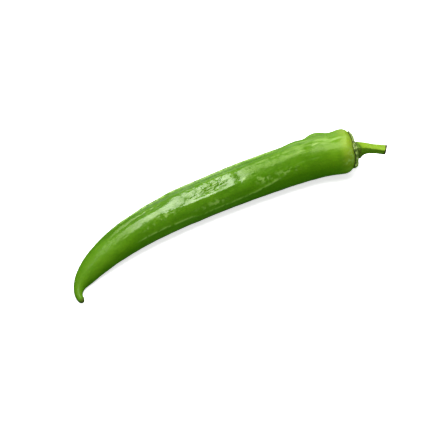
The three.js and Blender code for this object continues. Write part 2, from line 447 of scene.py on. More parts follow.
# Patches of crinkled skin: station, angle in degrees, half length in millimetres, half width in degrees,
# and strength.
POD_CRINKLES = (
    (88, 186, 14, 14, 1.3), (98, 190, 6, 10, 1.2), (98, 210, 12, 6, 0.55), (75, 192, 3, 14, 1.0),
    (106, 196, 3, 11, 0.9), (69, 206, 4, 7, 1.0), (60, 228, 5, 10, 1.0), (46, 230, 8, 9, 0.7),
    (90, 242, 9, 7, 0.7), (121, 218, 6, 7, 1.0), (134, 223, 5, 5, 0.8), (140, 194, 14, 10, 0.45),
    (155, 192, 8, 14, 0.9), (126, 168, 9, 6, 0.6), (50, 182, 12, 10, 0.50), (66, 184, 6, 10, 0.8),
    (26, 182, 9, 12, 0.30), (70, 30, 30, 40, 0.6), (120, 80, 25, 30, 0.6),
)

# Paler spots, given as the crinkles are: mostly painted glints where the dimpled skin catches the light,
# partly plain paler blotches.
POD_GLINTS_AND_BLOTCHES = (
    (4.5, 255, 3.0, 30, 1.0), (60, 228, 3.5, 9, 0.9), (46, 230, 7, 9, 0.7), (53, 239, 5, 6, 0.6),
    (39, 232, 4, 7, 0.6), (70, 207, 2.5, 4, 0.9), (63, 218, 3.0, 4, 0.7), (91, 242, 5, 7, 0.9),
    (97, 246, 3, 5, 0.7), (102, 240, 3, 3, 0.7), (122, 219, 5, 6, 1.0), (134, 224, 4, 4, 0.9),
    (157, 186, 4, 5, 0.6), (80, 40, 20, 20, 0.5), (130, 70, 15, 20, 0.5),
)

# Streaks of painted sheen and highlight on the shoulder and along the back, given in the same way.
POD_SHEEN_STREAKS = (
    (27, 150, 9.0, 14, 0.8), (12, 144, 5.0, 10, 0.5), (46, 144, 12.0, 9, 0.7), (13, 182, 6.0, 7, 1.3),
    (25, 177, 10.0, 7, 1.5), (14, 199, 7.0, 3, 0.6), (32, 191, 9.0, 3, 0.6), (58, 188, 9.0, 3, 0.5),
)

# Lines of painted highlight along the pod, among them the painted reflection along the back's rim and the
# ridge's crest, which is partly a paler vein: width in degrees, strength, and the line.
POD_HIGHLIGHT_LINES = (
    (2.6, 0.9, RIDGE_LINE),
    (2.4, 0.6, ((16, 180), (34, 178), (50, 177), (70, 180))),
    (4.2, 1.3, ((40, 145), (70, 145), (110, 145), (140, 146), (154, 146))),
    (1.6, 0.4, ((18, 222), (34, 219), (44, 222))),
)

# Lines and patches of painted shade, in the furrows and in the gaps between the highlight's rows, given as
# the highlight lines are.
POD_SHADE_LINES = (
    (3.6, 0.7, ((44, 159), (75, 160), (100, 159), (130, 158), (166, 154))),
    (1.4, 1.0, ((76, 202), (90, 203), (106, 204))),
    (1.5, 0.9, ((74, 190), (90, 190), (104, 191))),
    (1.3, 0.7, ((76, 196), (104, 197))),
    (1.3, 0.6, ((76, 183), (100, 183))),
    (3.0, 0.6, ((112, 176), (135, 176), (152, 178))),
    (3.0, 0.6, ((14, 150), (30, 146))),
    (5.0, 0.7, ((150, 151), (162, 150), (178, 148))),
)
POD_SHADE_PATCHES = (
    (74.3, 192, 1.5, 9, 0.9), (106.5, 196, 1.5, 7, 0.7), (95, 190, 3.0, 2.5, 0.7),
)

# Noise on the skin: size along and across the pod in millimetres, offset and octaves.
WAVES, DENTS, CRINKLES = (26.0, 11.0), (7.0, 5.0, 31.0), (2.5, 1.1, 77.0, 3)
BROKEN, STREAKED = (2.2, 1.7, 51.0, 3), (8.0, 1.8, 14.0)
WAVE_HEIGHT, DENT_HEIGHT = 0.22, 0.12
CRINKLE_HEIGHT, SMOOTH_HEIGHT = 0.17, 0.012  # in the crinkled patches, and everywhere
# The levels of noise between which each kind of mark goes from broken off to full.
BLOTCH_BREAKS, STREAK_BREAKS = (-0.25, 0.35), (-0.5, 0.4)
PATCH_BREAKS, LINE_BREAKS = (-0.6, 0.2), (-0.7, 0.1)
LINE_EASE = 12.0  # the length over which a fold or a line comes and goes at its ends
SHOULDER_EASE, TIP_EASE = (2.0, 9.0), (16.0, 4.0)  # where the relief comes, and how far from the tip it goes
ENDS_RELIEF = 0.12  # the share of the relief that the two ends keep
THIN = 4.0  # the relief weakens where the pod's radius is less than this

RING_BUNCHING = 0.3  # how far the rings crowd towards the two ends
SIDE_BUNCHING, CRINKLED_SIDE = 0.4, math.radians(200)  # how far the sides crowd, and towards which angle
NARROW, NARROW_AT, NARROW_SPAN = 0.11, 6.5, 3.6  # the narrow place behind the nub, measured from the tip
NUB_SWELL, NUB_START, NUB_FULL = 0.06, 3.5, 1.5  # how far the nub swells, and over which distances
NUB_LENGTH = 4.0  # the length of tip that has dried
BELLY_SOFTNESS = 0.06  # how softly the belly bends into its flat


def patches(station, angle, spots):
    """The strongest of some soft spots at each point."""
    strongest = np.zeros_like(station)
    for at, degrees, half_length, half_width, strength in spots:
        along = (station - at) / half_length
        across = turn_between(angle, math.radians(degrees)) / math.radians(half_width)
        strongest = np.maximum(strongest, strength * bell(along) * bell(across))
    return strongest


def on_line(station, angle, width, line):
    """How near each point is to a line along the pod, from 0 to 1."""
    at, degrees = np.array(line, float).T
    ease = min(LINE_EASE, (at[-1] - at[0]) / 3.0)
    inside = smoothstep(station, at[0], at[0] + ease) * (1.0 - smoothstep(station, at[-1] - ease, at[-1]))
    away = turn_between(angle, np.radians(np.interp(station, at, degrees)))
    return inside * bell(away / math.radians(width))


def pod_relief(station, angle, radius, length):
    """How far the skin stands off the plain pod, in millimetres."""
    relief = np.zeros_like(station)
    for width, height, line in POD_FOLDS:
        relief += height * on_line(station, angle, width, line)
    for at, degrees, half_length, half_width, height in POD_SWELLINGS:
        across = turn_between(angle, math.radians(degrees)) * np.maximum(radius, 1.0) / half_width
        relief += height * bell((station - at) / half_length) * bell(across)
    place = skin_place(station, angle, radius)
    relief += WAVE_HEIGHT * ripples(place, *WAVES) + DENT_HEIGHT * ripples(place, *DENTS)
    crinkled = SMOOTH_HEIGHT + CRINKLE_HEIGHT * patches(station, angle, POD_CRINKLES)
    relief += crinkled * ripples(place, *CRINKLES)
    near_tip = smoothstep(station, length - TIP_EASE[0], length - TIP_EASE[1])
    inside = smoothstep(station, *SHOULDER_EASE) * (1.0 - near_tip)
    return relief * (ENDS_RELIEF + (1.0 - ENDS_RELIEF) * inside) * settings("pod").relief


def pod_painted_shading(station, angle, radius):
    """Above 0 where light is painted on: highlights, sheen and reflections, with a few paler blotches. Below
    0 where shade is painted.
    """
    place = skin_place(station, angle, radius)
    broken = ripples(place, *BROKEN)
    painted_shading = patches(station, angle, POD_GLINTS_AND_BLOTCHES) * smoothstep(broken, *BLOTCH_BREAKS)
    streaks = patches(station, angle, POD_SHEEN_STREAKS) * smoothstep(ripples(place, *STREAKED), *STREAK_BREAKS)
    painted_shading = np.maximum(painted_shading, streaks)
    dark = patches(station, angle, POD_SHADE_PATCHES) * smoothstep(broken, *PATCH_BREAKS)
    for shade, lines in ((painted_shading, POD_HIGHLIGHT_LINES), (dark, POD_SHADE_LINES)):
        for width, strength, line in lines:
            lined = strength * on_line(station, angle, width, line)
            np.maximum(shade, lined * smoothstep(broken, *LINE_BREAKS), out=shade)
    return painted_shading - dark


def nub_share(station, length, nub_radius):
    """Radius of the rounded nub at a station, as a share of the girth."""
    left = np.clip((length - station) / nub_radius, 0.0, 1.0)
    return np.sqrt(1.0 - (1.0 - left) ** 2)


def make_pod(spine):
    length = spine.length
    even = np.linspace(0.0, 1.0, POD_RINGS)[1:-1]
    bunched = (1.0 - np.cos(math.pi * even)) / 2.0
    stations = length * ((1.0 - RING_BUNCHING) * even + RING_BUNCHING * bunched)
    angles = round_angles(POD_SIDES)
    angles = angles - SIDE_BUNCHING * np.sin(angles - CRINKLED_SIDE)
    station, angle = np.meshgrid(stations, angles, indexing="ij")
    nub = nub_share(station, length, mm(settings("pod").tip_diameter) / 2.0)
    narrow = NARROW * bell((station - (length - NARROW_AT)) / NARROW_SPAN)
    swell = 1.0 + NUB_SWELL * smoothstep(station, length - NUB_START, length - NUB_FULL) - narrow
    plain = girth_radius(station / length) * dome_share(station) * nub * swell
    radius = plain + pod_relief(station, angle, plain, length) * np.minimum(plain / THIN, 1.0)
    points = spine.lay(station, angle, radius)
    height = points[..., 2]
    points[..., 2] = (height + np.sqrt(height**2 + BELLY_SOFTNESS**2)) / 2.0
    edge = smoothstep(station, length - NUB_LENGTH, length)
    painted_shading = pod_painted_shading(station, angle, plain)
    return ring_mesh("pod_skin", points, skin_place(station, angle, plain), edge, painted_shading)


# ---- Calyx ----

CALYX_SIDES = 216
LEAF_LIFT = 0.06  # gap between the dome and the leaf
LEAF_RINGS, UNDER_RINGS = 34, 16
COLLAR, COLLAR_WIDTH, COLLAR_EASE = 1.9, 0.22, 2.2  # the boss: height, share of the leaf, and sharpness
# The rim: share of the way out and of its thickness.
RIM_SHAPE = ((0.99, 0.93), (1.0, 0.7), (1.004, 0.4), (1.0, 0.12))
RIM_ON_TOP = 2  # how many of those are on the upper side
# The boss's hidden top: share of the foot's radius, and how far below the collar.
BOSS_TOP = ((0.35, 0.5), (0.75, 0.25), (0.95, 0.06))
FIRST_TOOTH = math.radians(-140)
TOOTH_SHARPNESS, TOOTH_CENTRE = 1.5, 0.2
# Noise round the rim: how fine it is, its offset, and how far it moves the rim.
WANDER, RAGGED = (3.3, 3.0, 0.35), (11.0, 9.0, 0.16)
TOOTH_WANDER = (0.8, 0.5)  # how far it moves the teeth, and changes their size
VEIN, SIDE_VEIN = (6, 0.42), (4, 0.14)  # sharpness and height
LEAF_CRINKLE, LEAF_CRINKLE_AT = 0.50, (2.4, 4.5)  # height, and waves outwards and round
CURL, MOST_DIP = 0.45, 0.05  # how far the rim curls up off the pod, and how far down at most
FLAT_SIDE, FLATTENED = 198, 0.9  # the angle in degrees where it hardly curls, and how much less
UNDER_FRESHNESS = 0.45  # how much less the underside has dried


def calyx_outline(calyx):
    """(share of the way from boss to rim, height off the dome, 1 if on top) for each ring"""
    rim, crown = mm(calyx.rim), mm(calyx.crown)
    out = np.linspace(0.0, 0.97, LEAF_RINGS)
    gained = min(COLLAR, mm(calyx.boss_height)) - LEAF_LIFT - rim - crown
    boss = gained * np.maximum(1.0 - out / COLLAR_WIDTH, 0.0) ** COLLAR_EASE
    leaf = np.stack([out, LEAF_LIFT + rim + crown * (1.0 - out) ** 2 + boss], -1)
    edge = [(share, LEAF_LIFT + rim * height) for share, height in RIM_SHAPE]
    under = [(share, LEAF_LIFT * share) for share in np.linspace(0.98, 0.0, UNDER_RINGS)]
    outline = np.concatenate([leaf, edge, under])
    on_top = np.arange(len(outline)) < LEAF_RINGS + RIM_ON_TOP
    return outline[:, :1], outline[:, 1:], on_top[:, None].astype(float)


def make_calyx(spine):
    calyx = settings("calyx")
    foot = mm(settings("stalk").foot_diameter) / 2.0
    outs, heights, on_top = calyx_outline(calyx)
    angles = round_angles(CALYX_SIDES)
    out, angle = np.meshgrid(outs[:, 0], angles, indexing="ij")

    circle = np.stack([np.cos(angles), np.sin(angles), np.zeros_like(angles)], -1)
    wander, ragged = (fractal(circle * waves + offset, 3) for waves, offset, _ in (WANDER, RAGGED))
    beat = calyx.tooth_count * (angles - FIRST_TOOTH) + TOOTH_WANDER[0] * wander
    tooth = (0.5 + 0.5 * np.cos(beat)) ** TOOTH_SHARPNESS * (1.0 + TOOTH_WANDER[1] * wander)
    reach = mm(calyx.diameter) / 2.0 + mm(calyx.tooth_length) * (tooth - TOOTH_CENTRE)
    reach = reach + WANDER[2] * wander + RAGGED[2] * ragged
    radius = foot + (reach - foot) * out

    outward, around = LEAF_CRINKLE_AT
    place = np.stack([out * outward, np.cos(angle) * around, np.sin(angle) * around], -1)
    crinkle = fractal(place + 2.0, 3)
    vein = np.maximum(np.cos(beat), 0.0) ** VEIN[0] * VEIN[1]
    vein = vein + np.maximum(np.cos(beat * 2.0), 0.0) ** SIDE_VEIN[0] * SIDE_VEIN[1]
    curl = CURL * out**5 * (0.5 + wander + 0.8 * ragged) * smoothstep(out, 0.4, 1.0)
    curl = curl * (1.0 - FLATTENED * smoothstep(facing(angle, FLAT_SIDE), 0.80, 0.96))
    height = heights + on_top * vein * np.sin(math.pi * np.clip(out, 0.0, 1.0)) ** 0.8
    height = height + LEAF_CRINKLE * crinkle * np.minimum(1.6 * out, 1.0) * on_top
    height = height + np.maximum(curl, -MOST_DIP)
    # High on the swells and veins and low in the creases, where the material paints shade.
    painted_shading = np.clip(0.62 + 1.3 * crinkle + 0.8 * (vein - 0.15), 0.0, 1.0)
    painted_shading = painted_shading * on_top * smoothstep(out, 0.0, 0.16)
    lean = dome_lean(radius) * np.minimum(2.0 * out, 1.0)
    station = dome_station(radius) - height * np.cos(lean)
    spread = radius + height * np.sin(lean)

    # The boss's hidden top comes first, and the outline follows.
    shares, drops = np.repeat(np.array(BOSS_TOP).T[:, :, None], CALYX_SIDES, 2)
    hidden = np.zeros_like(shares)
    station = np.concatenate([drops - min(COLLAR, mm(calyx.boss_height)), station])
    spread = np.concatenate([foot * shares, spread])
    out = np.concatenate([hidden, out])
    angle = np.concatenate([angle[: len(BOSS_TOP)], angle])
    painted_shading = np.concatenate([hidden, painted_shading])
    underside = np.concatenate([hidden[:, :1], 1.0 - on_top])
    edge = np.clip(smoothstep(out, 0.80, 1.0) - UNDER_FRESHNESS * underside, 0.0, 1.0)
    points = spine.lay(station, angle, spread)
    grain = np.stack([out * 6.0, np.cos(angle) * 7.0, np.sin(angle) * 7.0], -1)
    return ring_mesh("calyx_leaf", points[::-1], grain[::-1], edge[::-1], painted_shading[::-1])


# ---- Stalk ----

STALK_RINGS, STALK_SIDES = 150, 120
STALK_TOP = -0.9  # station of its top, which is hidden in the calyx
FOOT_SHARPNESS, FOOT_SPREAD = 2.6, 0.9  # how soon the foot narrows, and how far it spreads inside the calyx
CUT_SHARPNESS = 5  # how late the cut end flares: higher is later
# How far the foot and the body lie to one side, how soon the first is over, and towards which angle.
FOOT_SAG, BODY_SAG, SAG_EASE, SAG_SIDE = 0.75, 0.25, 1.2, math.radians(310)
# The cut end, from its rim to its dished middle: depth and radius as shares of the two below.
CUT_FACE = ((0.30, 0.99), (0.42, 0.95), (0.45, 0.86), (0.36, 0.74), (0.22, 0.56), (0.14, 0.36), (0.1, 0.16))
CUT_DEPTH = 0.3
TWIST = 0.25  # how far the ribs turn along the stalk, in radians
RIB_DEPTH, RIB_GAIN, RIB_CENTRE = 0.12, 0.08, 0.35  # shares of the radius, the second gained past the foot
GRAIN_HEIGHT, TORN_DEPTH, TORN_BULGE, TORN_LENGTH = 0.07, 0.55, 0.10, 0.9  # the last from the torn cut
# Noise as on the skin. The torn one is the same all along.
GRAIN_NOISE, TORN_NOISE = (5.0, 1.6, 4.0, 3), (math.inf, 0.55, 8.0, 3)
DRIED_START, DRIED_FULL = 1.9, 0.5  # distances from the cut
NEAR_SIDE, NEAR_DELAY = 225, (0.9, 0.45)  # the angle in degrees where it has dried less far, and how much
SUNNY_SIDE, OUTLINE_SHADE_SIDE, FOOT_SHADE_SIDE = 150, 310, 270  # angles in degrees: of the side where light is painted, of the lower outline, along which and the upper one a line of shade is painted, and of the side where the painted shade round the foot reaches furthest
SHADE_NOISE_SIZE = 1.6  # of the noise that breaks up the painted shade round the foot and along the outlines


def stalk_paleness(station, angle, place, twist):
    """1 on the sunny side, where light is painted, about 0 on the shaded one, down to -1 in the painted shade
    round the foot, and -0.5 in the painted shade along the outlines.
    """
    # Light painted on the sunny side.
    sunny = smoothstep(np.cos(angle - math.radians(SUNNY_SIDE) + twist), 0.15, 0.30)
    # Painted shade round the foot, where the stalk meets the calyx, reaching furthest on one side.
    below = facing(angle, FOOT_SHADE_SIDE)
    clear_of_foot_shade = smoothstep(-station, 2.4 + 0.8 * below, 4.2 + 3.2 * below)
    shade_noise = fractal(place / SHADE_NOISE_SIZE + 21.0, 3)
    # Painted shade along the stalk's upper and lower outline, broken up by the noise.
    outline_shade = smoothstep(np.abs(np.cos(angle - math.radians(OUTLINE_SHADE_SIDE) + twist)), 0.90, 0.985)
    outline_shade = outline_shade * smoothstep(shade_noise, -0.6, 0.4)
    painted_shading = (0.12 + 0.88 * sunny) * clear_of_foot_shade - (1.0 - clear_of_foot_shade) * smoothstep(shade_noise, -0.6, -0.1)
    return painted_shading * (1.0 - outline_shade) - 0.5 * outline_shade


def make_stalk(spine):
    stalk = settings("stalk")
    foot, thin, cut = (mm(d) / 2.0 for d in (stalk.foot_diameter, stalk.diameter, stalk.cut_diameter))
    end = spine.start
    along = np.linspace(0.0, 1.0, STALK_RINGS)
    stations = STALK_TOP + (end - STALK_TOP) * along
    down = (-mm(settings("calyx").boss_height) - stations) / mm(stalk.foot_length)
    left = np.clip(1.0 - np.maximum(down, 0.0), 0.0, 1.0)  # of the foot: 1 at the calyx, 0 at its end
    flare = (foot - thin) * left**FOOT_SHARPNESS + FOOT_SPREAD * np.maximum(-down, 0.0)
    sag = FOOT_SAG * left**SAG_EASE + BODY_SAG * (1.0 - along**3)
    body = thin + flare + (cut - thin) * along**CUT_SHARPNESS

    depths, widths = np.array(CUT_FACE).T
    stations = np.concatenate([stations, end - CUT_DEPTH * depths])
    body = np.concatenate([body, cut * widths])[:, None]
    sag = np.concatenate([sag, 0.0 * depths])[:, None]
    on_face = (np.arange(len(stations)) >= STALK_RINGS)[:, None].astype(float)
    station, angle = np.meshgrid(stations, round_angles(STALK_SIDES), indexing="ij")
    twist = TWIST * (station - STALK_TOP) / mm(stalk.length)
    rib = 1.0 - np.abs(np.sin(stalk.rib_count * (angle - stalk.rib_angle + twist) / 2.0))
    ribbed = RIB_DEPTH + RIB_GAIN * smoothstep(-station, 3.0, 7.0)
    radius = body * (1.0 + ribbed * (rib - RIB_CENTRE)) + sag * np.cos(angle - SAG_SIDE)
    place = skin_place(station, angle, radius)
    radius = radius + GRAIN_HEIGHT * ripples(place, *GRAIN_NOISE) * (1.0 - on_face)
    torn = ripples(place, *TORN_NOISE)
    near_end = smoothstep(-station, -end - TORN_LENGTH, -end)
    station = station - near_end * (TORN_DEPTH * torn + 0.05)
    radius = radius + near_end * (1.0 - on_face) * TORN_BULGE * torn

    start, full = (delay * facing(angle, NEAR_SIDE) ** 2 - end for delay in NEAR_DELAY)
    dried = smoothstep(-station, start - DRIED_START, full - DRIED_FULL)
    edge = np.clip(dried + on_face, 0.0, 1.0)
    points = spine.lay(station, angle, radius)
    painted_shading = stalk_paleness(station, angle, place, twist)
    return ring_mesh("stalk_stem", points[::-1], place[::-1], edge[::-1], painted_shading[::-1])


# ---- Shader nodes ----


def feed(tree, socket, value):
    """Links a socket to another one, or sets it to a number, a vector or a colour."""
    if isinstance(value, bpy.types.NodeSocket):
        tree.links.new(value, socket)
    elif socket.type == "RGBA":
        socket.default_value = (*value, 1.0)
    else:
        socket.default_value = value


def fill(tree, made, **values):
    """A node with its inputs set or linked by name, and its properties set where there is no such input."""
    for key, value in values.items():
        socket = made.inputs.get(key.replace("_", " "))
        if socket is None:
            setattr(made, key, value)
        else:
            feed(tree, socket, value)
    return made


def node(tree, kind, **values):
    return fill(tree, tree.nodes.new(kind), **values)


def math_node(tree, operation, *values, clamp=False):
    made = node(tree, "ShaderNodeMath", operation=operation, use_clamp=clamp)
    for socket, value in zip(made.inputs, values):
        feed(tree, socket, value)
    return made.outputs[0]


def times(tree, first, second):
    return math_node(tree, "MULTIPLY", first, second)


def between(tree, value, low, high, to_low=0.0, to_high=1.0):
    """value mapped smoothly from low and high to two other numbers."""
    made = node(tree, "ShaderNodeMapRange", interpolation_type="SMOOTHSTEP", Value=value)
    return fill(tree, made, From_Min=low, From_Max=high, To_Min=to_low, To_Max=to_high).outputs["Result"]


def mix_colour(tree, factor, first, second):
    made = node(tree, "ShaderNodeMix", data_type="RGBA")
    for index, value in ((0, factor), (6, first), (7, second)):
        feed(tree, made.inputs[index], value)
    return made.outputs[2]


def tinted(tree, base, mask, most, colour):
    """A base with a colour mixed in where the mask is, by most at the most."""
    return mix_colour(tree, times(tree, mask, most), base, colour)


def scaled(tree, vector, scale):
    made = node(tree, "ShaderNodeVectorMath", operation="MULTIPLY")
    feed(tree, made.inputs[0], vector)
    feed(tree, made.inputs[1], scale)
    return made.outputs[0]


def noise_at(tree, vector, scale, detail=2.0, roughness=0.5, distortion=0.0):
    values = {"Scale": scale, "Detail": detail, "Roughness": roughness, "Distortion": distortion}
    return node(tree, "ShaderNodeTexNoise", Vector=vector, **values).outputs[0]


def attribute(tree, name, output="Fac"):
    return node(tree, "ShaderNodeAttribute", attribute_name=name).outputs[output]


def new_group(name, output, **numbers):
    """(node tree, input sockets, output socket) of a group that takes the grain and some numbers."""
    tree = bpy.data.node_groups.new(name, "ShaderNodeTree")
    tree.interface.new_socket("Grain", in_out="INPUT", socket_type="NodeSocketVector")
    for key, number in numbers.items():
        key = key.replace("_", " ")
        socket = tree.interface.new_socket(key, in_out="INPUT", socket_type="NodeSocketFloat")
        socket.default_value = number
    tree.interface.new_socket(output, in_out="OUTPUT", socket_type="NodeSocketFloat")
    return tree, tree.nodes.new("NodeGroupInput").outputs, tree.nodes.new("NodeGroupOutput").inputs[0]


def mottle_group(name):
    """Soft patches of lighter and darker skin."""
    tree, given, wanted = new_group(name, "Mask", Patches_per_mm=0.1, Contrast=1.0)
    stretched = scaled(tree, given["Grain"], (0.6, 1.0, 1.0))
    soft = noise_at(tree, stretched, given["Patches per mm"], detail=4.0, roughness=0.62, distortion=0.4)
    spread = times(tree, math_node(tree, "SUBTRACT", soft, 0.5), given["Contrast"])
    tree.links.new(math_node(tree, "ADD", spread, 0.5, clamp=True), wanted)
    return tree


def fibre_group(name):
    """Fine streaks along the fibres."""
    tree, given, wanted = new_group(name, "Mask", Streaks_per_mm=1.0)
    stretched = scaled(tree, given["Grain"], (0.045, 1.0, 1.0))
    streaks = noise_at(tree, stretched, given["Streaks per mm"], detail=3.0, roughness=0.6)
    tree.links.new(between(tree, streaks, 0.38, 0.66), wanted)
    return tree


def pebble_group(name):
    """The fine pebbling of the skin, as a height."""
    tree, given, wanted = new_group(name, "Height", Pebbles_per_mm=1.0, Wrinkle=0.5)
    pebbled = noise_at(tree, given["Grain"], given["Pebbles per mm"], roughness=0.55)
    stretched = scaled(tree, given["Grain"], (0.25, 1.0, 1.0))
    wrinkles = times(tree, noise_at(tree, stretched, given["Pebbles per mm"]), given["Wrinkle"])
    tree.links.new(math_node(tree, "ADD", pebbled, wrinkles), wanted)
    return tree


def drying_group(name):
    """Where a piece has dried and browned, raggedly, towards its free edge."""
    tree, given, wanted = new_group(name, "Mask", Edge=0.0, Start=0.5, Raggedness=0.4)
    broken = noise_at(tree, given["Grain"], 1.3, detail=4.0, roughness=0.65)
    centred = math_node(tree, "SUBTRACT", broken, 0.5)
    shifted = math_node(tree, "MULTIPLY_ADD", centred, given["Raggedness"], given["Edge"])
    full = math_node(tree, "ADD", given["Start"], 0.3)
    tree.links.new(between(tree, shifted, given["Start"], full), wanted)
    return tree


def shared(tree, name, make_group, grain, **values):
    """The output of one of the shared groups, which is built the first time it is wanted."""
    group = bpy.data.node_groups.get(name) or make_group(name)
    made = node(tree, "ShaderNodeGroup", node_tree=group)
    return fill(tree, made, Grain=grain, **values).outputs[0]


def mottle(tree, grain, per_mm, contrast):
    return shared(tree, "Skin mottle", mottle_group, grain, Patches_per_mm=per_mm, Contrast=contrast)


def fibres(tree, grain, per_mm):
    return shared(tree, "Fibre streaks", fibre_group, grain, Streaks_per_mm=per_mm)


def pebbles(tree, grain, per_mm, wrinkle):
    return shared(tree, "Skin pebbles", pebble_group, grain, Pebbles_per_mm=per_mm, Wrinkle=wrinkle)


def drying(tree, grain, edge, start, raggedness):
    values = {"Edge": edge, "Start": start, "Raggedness": raggedness}
    return shared(tree, "Dried edge", drying_group, grain, **values)


# ---- Materials ----


def new_material(name, **values):
    """(material, node tree, its Principled shader)"""
    material = bpy.data.materials.new(name)
    material.use_nodes = True
    tree = material.node_tree
    return material, tree, fill(tree, tree.nodes["Principled BSDF"], **values)


def surface(tree):
    """The sockets of the three vertex attributes."""
    return attribute(tree, GRAIN, "Vector"), attribute(tree, EDGE), attribute(tree, PAINTED_SHADING)


def bumped(tree, height, distance):
    return node(tree, "ShaderNodeBump", Strength=1.0, Distance=distance, Height=height).outputs["Normal"]


def colours_along(tree, grain, length, stops):
    """A colour that changes along the pepper. stops holds stations in millimetres and colours."""
    along = node(tree, "ShaderNodeSeparateXYZ", Vector=grain).outputs["X"]
    share = math_node(tree, "DIVIDE", along, length, clamp=True)
    ramp = tree.nodes.new("ShaderNodeValToRGB")
    tree.links.new(share, ramp.inputs["Fac"])
    ramp.color_ramp.interpolation = "EASE"
    points = ramp.color_ramp.elements
    while len(points) < len(stops):
        points.new(0.5)
    for point, (station, colour) in zip(points, stops):
        point.position = min(max(station / length, 0.0), 1.0)
        point.color = (*colour, 1.0)
    return ramp.outputs["Color"], along


def blended(first, second, share):
    return tuple(a + (b - a) * share for a, b in zip(first, second))


def pod_material(length):
    pod = settings("pod")
    material, tree, shader = new_material("Waxy green skin", Specular_IOR_Level=0.30, Specular_Tint=pod.sheen)
    grain, edge, painted_shading = surface(tree)
    skin, light, dark, blush = pod.skin, pod.skin_light, pod.skin_dark, pod.blush
    stops = (
        (0.0, blush),
        (5.0, blended(blush, light, 0.25)),
        (12.0, blended(light, skin, 0.25)),
        (26.0, blended(light, skin, 0.75)),
        (60.0, skin),
        (125.0, blended(skin, light, 0.05)),
        (165.0, blended(skin, light, 0.10)),
        (188.0, blended(skin, light, 0.20)),
    )
    coloured, along = colours_along(tree, grain, length, stops)
    broad = mottle(tree, grain, per_mm=0.055, contrast=2.6)
    fine = mottle(tree, grain, per_mm=0.32, contrast=2.0)
    dried = drying(tree, grain, edge, start=0.72, raggedness=0.35)
    # Each layer: where it is, how strong it is at most, and its colour.
    layers = (
        (between(tree, broad, 0.5, 0.0), 0.45, dark),
        (between(tree, broad, 0.55, 1.0), 0.35, light),
        (between(tree, fine, 0.62, 0.95), 0.30, light),
        (between(tree, fine, 0.40, 0.05), 0.30, dark),
        (fibres(tree, grain, per_mm=0.55), 0.16, light),
        # Painted shade where the attribute is below 0, and painted highlights, sheen and reflections where it
        # is above 0.
        (between(tree, painted_shading, 0.0, -1.0), 0.9, dark),
        (between(tree, painted_shading, 0.0, 1.3), 0.95, pod.painted_highlight),
        (dried, 0.75, pod.nub),
    )
    for mask, most, colour in layers:
        coloured = tinted(tree, coloured, mask, most, colour)
    satin = between(tree, fine, 0.2, 0.9, 0.30, 0.40)
    duller_tip = between(tree, along, 138.0, 164.0, 0.0, 0.22)
    rough = math_node(tree, "MULTIPLY_ADD", dried, 0.3, math_node(tree, "ADD", duller_tip, satin))
    # The wax is thick along the middle of the body, worn in patches, and left off where shade is painted, so
    # that the painted shade lines stay dark.
    waxed = times(tree, between(tree, along, 62.0, 82.0), between(tree, along, 156.0, 116.0))
    worn = between(tree, mottle(tree, grain, per_mm=0.22, contrast=2.2), 0.15, 0.85, 0.45, 0.90)
    worn_clear_of_shade = times(tree, worn, between(tree, painted_shading, -0.7, 0.0))
    coat = math_node(tree, "MULTIPLY_ADD", waxed, worn_clear_of_shade, 0.06)
    normal = bumped(tree, pebbles(tree, grain, per_mm=0.9, wrinkle=0.8), distance=0.00010)
    fill(tree, shader, Base_Color=coloured, Roughness=rough, Normal=normal)
    fill(tree, shader, Coat_Weight=coat, Coat_Roughness=0.16, Coat_IOR=1.5)
    fill(tree, shader, Subsurface_Weight=0.12, Subsurface_Radius=(0.5, 1.0, 0.15), Subsurface_Scale=0.0015)
    return material


def calyx_material():
    calyx = settings("calyx")
    material, tree, shader = new_material("Leafy calyx", Specular_IOR_Level=0.35)
    grain, edge, painted_shading = surface(tree)
    patch = mottle(tree, grain, per_mm=0.5, contrast=2.2)
    streak = fibres(tree, grain, per_mm=0.9)
    leaf = tinted(tree, calyx.leaf, streak, 0.7, calyx.vein)
    browned = tinted(tree, leaf, patch, 0.35, blended(calyx.leaf, calyx.dried, 0.5))
    # Shade painted into the creases.
    crease_shaded = tinted(tree, browned, between(tree, painted_shading, 0.45, 0.05), 0.9, calyx.crease_shade)
    dried = drying(tree, grain, edge, start=0.97, raggedness=1.2)
    coloured = tinted(tree, crease_shaded, dried, 0.3, calyx.dried)
    rough = between(tree, patch, 0.2, 0.8, 0.42, 0.62)
    height = math_node(tree, "ADD", pebbles(tree, grain, per_mm=1.2, wrinkle=0.5), streak)
    fill(tree, shader, Base_Color=coloured, Roughness=rough, Normal=bumped(tree, height, distance=0.00016))
    return material


def stalk_material():
    stalk = settings("stalk")
    material, tree, shader = new_material("Ribbed stalk", Specular_IOR_Level=0.30, Specular_Tint=stalk.sheen)
    grain, edge, painted_shading = surface(tree)
    streak = fibres(tree, grain, per_mm=1.6)
    patch = mottle(tree, grain, per_mm=0.35, contrast=2.0)
    # Painted shade round the foot, and painted light on the sunny side.
    shady = tinted(tree, stalk.green, between(tree, painted_shading, 0.0, -1.0), 0.8, stalk.foot_shade)
    sunny = mix_colour(tree, between(tree, painted_shading, 0.0, 1.0), shady, stalk.painted_shading)
    green = tinted(tree, sunny, streak, 0.25, stalk.painted_shading)
    browned = tinted(tree, green, patch, 0.25, blended(stalk.green, stalk.cut, 0.35))
    dried = drying(tree, grain, edge, start=0.40, raggedness=0.6)
    coloured = mix_colour(tree, dried, browned, stalk.cut)
    rough = math_node(tree, "MULTIPLY_ADD", dried, 0.35, 0.42)
    height = math_node(tree, "ADD", pebbles(tree, grain, per_mm=1.6, wrinkle=0.6), streak)
    fill(tree, shader, Base_Color=coloured, Roughness=rough, Normal=bumped(tree, height, distance=0.00014))
    return material


